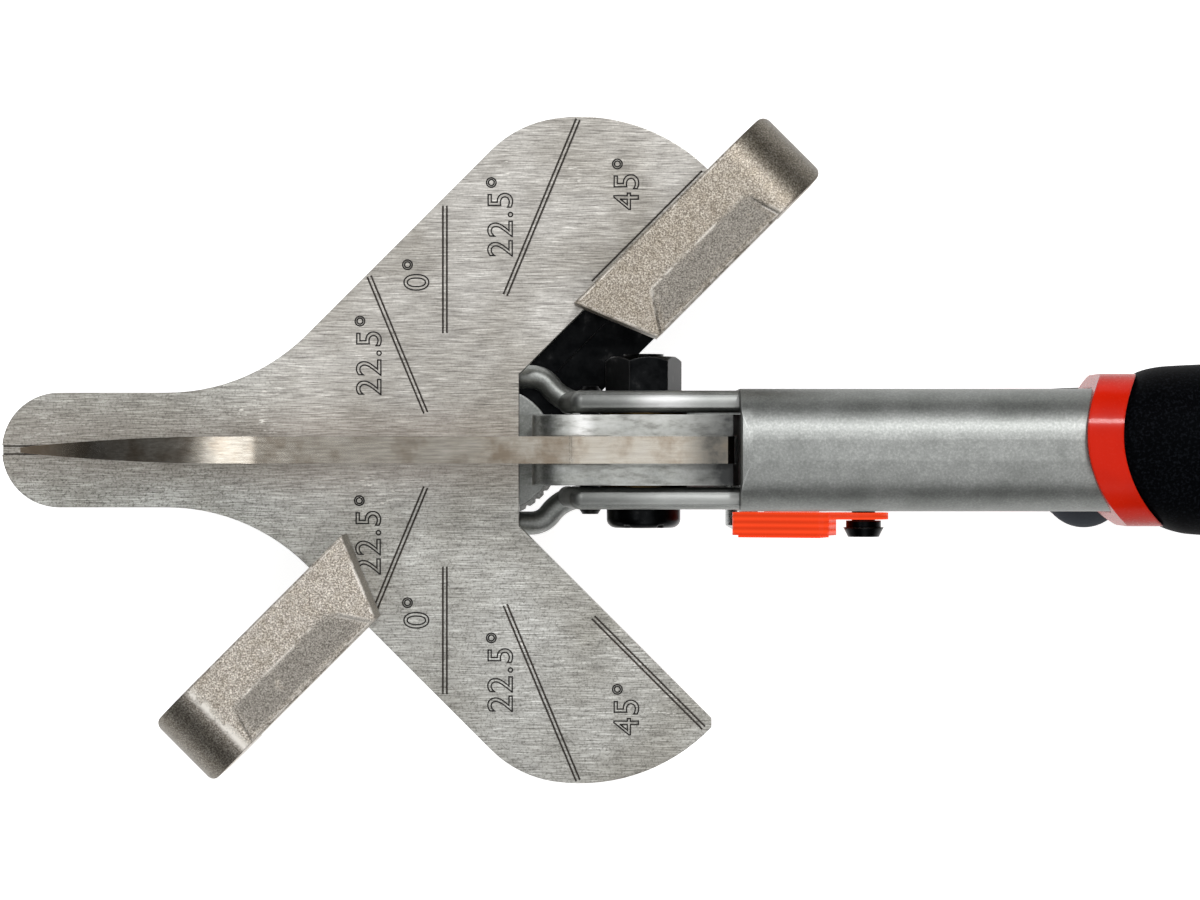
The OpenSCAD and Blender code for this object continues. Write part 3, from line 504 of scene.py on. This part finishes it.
def ring_skin(rings, sides):
    """Faces that join rings of points in order, with a face over each end."""
    faces = [[r * sides + k, r * sides + (k + 1) % sides, (r + 1) * sides + (k + 1) % sides, (r + 1) * sides + k]
             for r in range(rings - 1) for k in range(sides)]
    faces.append(list(range(sides))[::-1])
    faces.append([(rings - 1) * sides + k for k in range(sides)])
    return faces


def between(stations, x):
    """The values of a row of stations at x, on a smooth curve through them."""
    last = len(stations) - 1
    i = max(0, min(last - 1, sum(1 for s in stations if s[0] <= x) - 1))
    before, a, b, after = (stations[max(0, min(last, i + k))] for k in (-1, 0, 1, 2))
    t = max(0.0, min(1.0, (x - a[0]) / (b[0] - a[0])))
    values = []
    for k in range(1, len(a)):
        slope_a = (b[k] - before[k]) / max(b[0] - before[0], 1e-6) * (b[0] - a[0])
        slope_b = (after[k] - a[k]) / max(after[0] - a[0], 1e-6) * (b[0] - a[0])
        values.append((2 * t**3 - 3 * t**2 + 1) * a[k] + (t**3 - 2 * t**2 + t) * slope_a
                      + (3 * t**2 - 2 * t**3) * b[k] + (t**3 - t**2) * slope_b)
    return values


def engraved_figures():
    """The plate's angle figures: outline strokes cut in its face, read from the nose end, about 4 mm tall."""
    letter_mm, stroke_mm, sunk_mm = 5.35, 0.165, 0.09
    # Each figure with its middle, in millimetres
    figures = [("22.5°", -18.3, 14.4), ("0°", -11.1, 26.6), ("22.5°", 1.6, 35.4), ("45°", 20.7, 40.4),
               ("22.5°", -18.4, -12.8), ("0°", -11.1, -24.6), ("22.5°", 1.6, -33.6), ("45°", 20.7, -39.2)]
    for number, (words, x, y) in enumerate(figures):
        name = "figure_%d" % number
        curve = bpy.data.curves.new(name, "FONT")
        curve.body = words
        curve.size = letter_mm * MM
        curve.space_character = 1.10
        curve.align_x = "CENTER"
        curve.align_y = "CENTER"
        curve.fill_mode = "NONE"
        curve.bevel_depth = stroke_mm * MM
        curve.bevel_resolution = 1
        drawn = new_object(name, curve)
        bpy.context.view_layer.update()
        mesh = bpy.data.meshes.new_from_object(drawn.evaluated_get(bpy.context.evaluated_depsgraph_get()))
        bpy.data.objects.remove(drawn)
        mesh.materials.clear()
        mesh.materials.append(cut_line)
        piece = new_object(name, mesh)
        piece.location = (x * MM, y * MM, FACE_Z - sunk_mm * MM)
        piece.rotation_euler = (0, 0, math.radians(90))
        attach(piece, "frame")


def horn_skin(name, side, sides=28):
    """One smooth skin over a horn, where the casting swings in from under the plate to the foot of its ear."""
    radius, height = 1.79, FACE_Z / MM - 7.0
    # The centre line in millimetres: straight, then a bend inwards, then a sweep back to the tool's own direction
    bend_x, bend_y, bend = 6.0, 7.7, 3.512
    sweep_x, sweep_y, sweep = 14.0, 13.55, 6.4
    turn = math.radians(36.18)
    path = [(3.0, bend_y + bend, 0.0), (4.5, bend_y + bend, 0.0)]
    for i in range(13):
        a = math.pi / 2 + (turn - math.pi / 2) * i / 12
        path.append((bend_x + bend * math.cos(a), bend_y + bend * math.sin(a), a - math.pi / 2))
    for i in range(1, 15):
        a = math.pi + turn + (math.pi / 2 - turn) * i / 14
        path.append((sweep_x + sweep * math.cos(a), sweep_y + sweep * math.sin(a), a + math.pi / 2))
    points = []
    for x, y, heading in path:
        for k in range(sides):
            b = 2 * math.pi * k / sides
            out = radius * math.cos(b)
            points.append((x - out * math.sin(heading), side * (y + out * math.cos(heading)),
                           height + radius * math.sin(b)))
    faces = ring_skin(len(path), sides)
    skin = mesh_piece(name, points, faces if side < 0 else [face[::-1] for face in faces], casting)
    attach(skin, "frame")


def coil_spring():
    """The return spring: one round wire between the handles."""
    low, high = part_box("return_spring")
    middle_x = (low[0] + high[0]) / 2 / MM
    middle_y = (low[1] + high[1]) / 2 / MM
    wire, radius, turns, sides = 0.6, 3.6, 7, 10
    rings = turns * 28 + 1
    points = []
    for i in range(rings):
        t = i / (rings - 1)
        a = 2 * math.pi * turns * t
        z = low[2] / MM + wire + (high[2] - low[2]) / MM * t - 2 * wire * t
        for k in range(sides):
            b = 2 * math.pi * k / sides
            r = radius + wire * math.cos(b)
            points.append((middle_x + r * math.cos(a), middle_y + r * math.sin(a), z + wire * math.sin(b)))
    faces = [face[::-1] for face in ring_skin(rings, sides)]
    spring = mesh_piece("coil_spring", points, faces, bright_steel)
    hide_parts("return_spring")
    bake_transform(spring)


def grip(name, stations, mouth, ribs, body, node, lobe=None, sides=64):
    """A moulded rubber sleeve with a rounded mouth, a swell for the palm and shallow ribs, in millimetres.

    Stations are [x, half width, half height, middle height], mouth says how far back the front edge lies at y, ribs
    are the places of the grooves between them, and a lobe is a ball (x, y, z, radius) that bulges to the latch's side.
    """
    groove_deep, groove_wide, mouth_long, steps = 0.5, 0.9, 26, 170
    square = 2 / 2.3  # the section is a little squarer than an ellipse
    x0, x1 = stations[0][0], stations[-1][0]
    points = []
    for i in range(steps + 1):
        x = x0 + (x1 - x0) * i / steps
        wide, tall, middle = between(stations, x)
        dip = sum(groove_deep * math.exp(-((x - r) / groove_wide) ** 2) for r in ribs)
        swept = max(0.0, 1 - (x - x0) / mouth_long) ** 2
        for k in range(sides):
            a = 2 * math.pi * k / sides
            c, s = math.cos(a), math.sin(a)
            y = (wide - dip) * math.copysign(abs(c) ** square, c)
            z = middle + (tall - dip) * math.copysign(abs(s) ** square, s)
            if lobe:
                reach = lobe[3] ** 2 - (x - lobe[0]) ** 2 - (z - lobe[2]) ** 2
                if reach > 0 and y < 0:
                    y = min(y, lobe[1] - math.sqrt(reach))
            points.append((x + mouth(y) * swept, y, z))
    piece = mesh_piece(name, points, ring_skin(steps + 1, sides), rubber)
    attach(piece, body)
    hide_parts(node)


def upper_mouth(y):
    """The upper grip's front edge follows the collar's curve, 16 mm in radius and 2 mm off the middle."""
    radius, off = 16, 2
    return radius - math.sqrt(max(4.0, radius ** 2 - (y - off) ** 2))


def both_grips():
    """The upper sleeve, which rides on the frame, and the lower one, which rides on the lever."""
    face = FACE_Z / MM
    upper, lower = face + 14.5, face - 14.4
    grip("upper_sleeve",
         [[91.8, 10.2, 11.6, upper], [92.6, 11.3, 12.4, upper], [94.5, 12.0, 12.8, upper], [98, 12.4, 12.9, upper],
          [116, 13.0, 13.1, upper - 0.2], [132, 13.4, 13.1, upper - 0.3], [160, 12.6, 12.2, upper - 0.1],
          [186, 12.9, 12.8, upper + 0.3], [195, 12.0, 12.0, upper + 0.3], [199.2, 9.8, 9.8, upper + 0.3],
          [200, 7.4, 7.4, upper + 0.3]],
         upper_mouth, [164, 168, 172, 176, 180, 184], "frame", "upper_grip")
    grip("lower_sleeve",
         [[85, 8.8, 9.3, lower], [86, 9.5, 10.0, lower], [100, 9.9, 10.4, lower], [126, 11.8, 10.7, lower + 0.2],
          [156, 11.2, 9.8, lower - 0.2], [182, 11.8, 10.5, lower], [191, 11.0, 9.9, lower], [195.2, 8.8, 8.0, lower],
          [196, 6.6, 5.9, lower]],
         lambda y: 0.0, [160, 164, 168, 172, 176, 180], "lever", "lower_grip", lobe=(91.5, -5.4, face - 13, 6.6))


def white_floor():
    """A pale paper floor just under the clamp knob."""
    half_side, drop = 2, 0.3 * MM
    floor = bpy.data.meshes.new("floor")
    floor.from_pydata([(-half_side, -half_side, 0), (half_side, -half_side, 0), (half_side, half_side, 0),
                       (-half_side, half_side, 0)], [], [[0, 1, 2, 3]])
    paper = bpy.data.materials.new("white_paper")
    paper.use_nodes = True
    shader = paper.node_tree.nodes["Principled BSDF"]
    shader.inputs["Base Color"].default_value = linear("#f6f6f5")
    shader.inputs["Roughness"].default_value = 0.9
    shader.inputs["Emission Color"].default_value = linear("#ffffff")
    shader.inputs["Emission Strength"].default_value = 0.8
    floor.materials.append(paper)
    ground = new_object("floor", floor)
    ground.location.z = -drop


def studio_light():
    """A bright canopy that darkens to the horizon, sooner towards the nose than the grips, and four soft panels."""
    world = bpy.data.worlds.new("studio")
    world.use_nodes = True
    direction = add_node(world, "TexCoord").outputs["Generated"]
    axes = add_node(world, "SeparateXYZ", links={"Vector": direction}).outputs
    canopy = zone(world, (axes["Z"], 0.15, 0.80, 0.05, 1.4))
    ends = zone(world, (axes["X"], -0.27, 0.02, 0.12, 1.0), (axes["X"], 0.28, 0.58, 1.0, 0.12))
    glow = add_node(world, "Math", links={0: canopy, 1: ends}, operation="MULTIPLY")
    sky = world.node_tree.nodes["Background"]
    sky.inputs["Color"].default_value = linear("#ffffff")
    join(world, glow, sky, "Strength")
    bpy.context.scene.world = world
    # Panels: name, place, aim, width, depth, brightness
    panels = [("nose_strip", (-0.352, 0.0, 0.886), (-0.04, 0, 0.04), 0.19, 0.16, 4.8),
              ("side_panel_a", (0.05, 0.75, 0.75), (0.05, 0, 0), 0.5, 0.3, 0.9),
              ("side_panel_b", (0.05, -0.75, 0.75), (0.05, 0, 0), 0.5, 0.3, 0.9),
              ("collar_glint", (0.215, 0.453, 0.805), (0.09, 0, 0.04), 0.05, 0.12, 150.0)]
    for name, place, aim, width, depth, brightness in panels:
        lamp = bpy.data.lights.new(name, "AREA")
        lamp.shape = "RECTANGLE"
        lamp.size = width
        lamp.size_y = depth
        lamp.energy = brightness * math.pi * width * depth
        holder = new_object(name, lamp)
        holder.location = place
        holder.rotation_euler = (Vector(aim) - Vector(place)).to_track_quat("-Z", "Y").to_euler()


def camera_above():
    """The photograph looks straight down, and is 181.8 mm wide at the plate's face."""
    distance, view_width, middle_x = 560 * MM, 181.8 * MM, 16.5 * MM
    lens = bpy.data.cameras.new("camera")
    lens.sensor_width = 36
    lens.lens = lens.sensor_width * distance / view_width
    lens.clip_start = 10 * MM
    eye = new_object("camera", lens)
    eye.location = (middle_x, 0, FACE_Z + distance)
    bpy.context.scene.camera = eye
    bpy.context.scene.view_settings.view_transform = "Standard"


engraved_figures()
horn_skin("horn_upper", 1)
horn_skin("horn_lower", -1)
coil_spring()
both_grips()
white_floor()
studio_light()
camera_above()
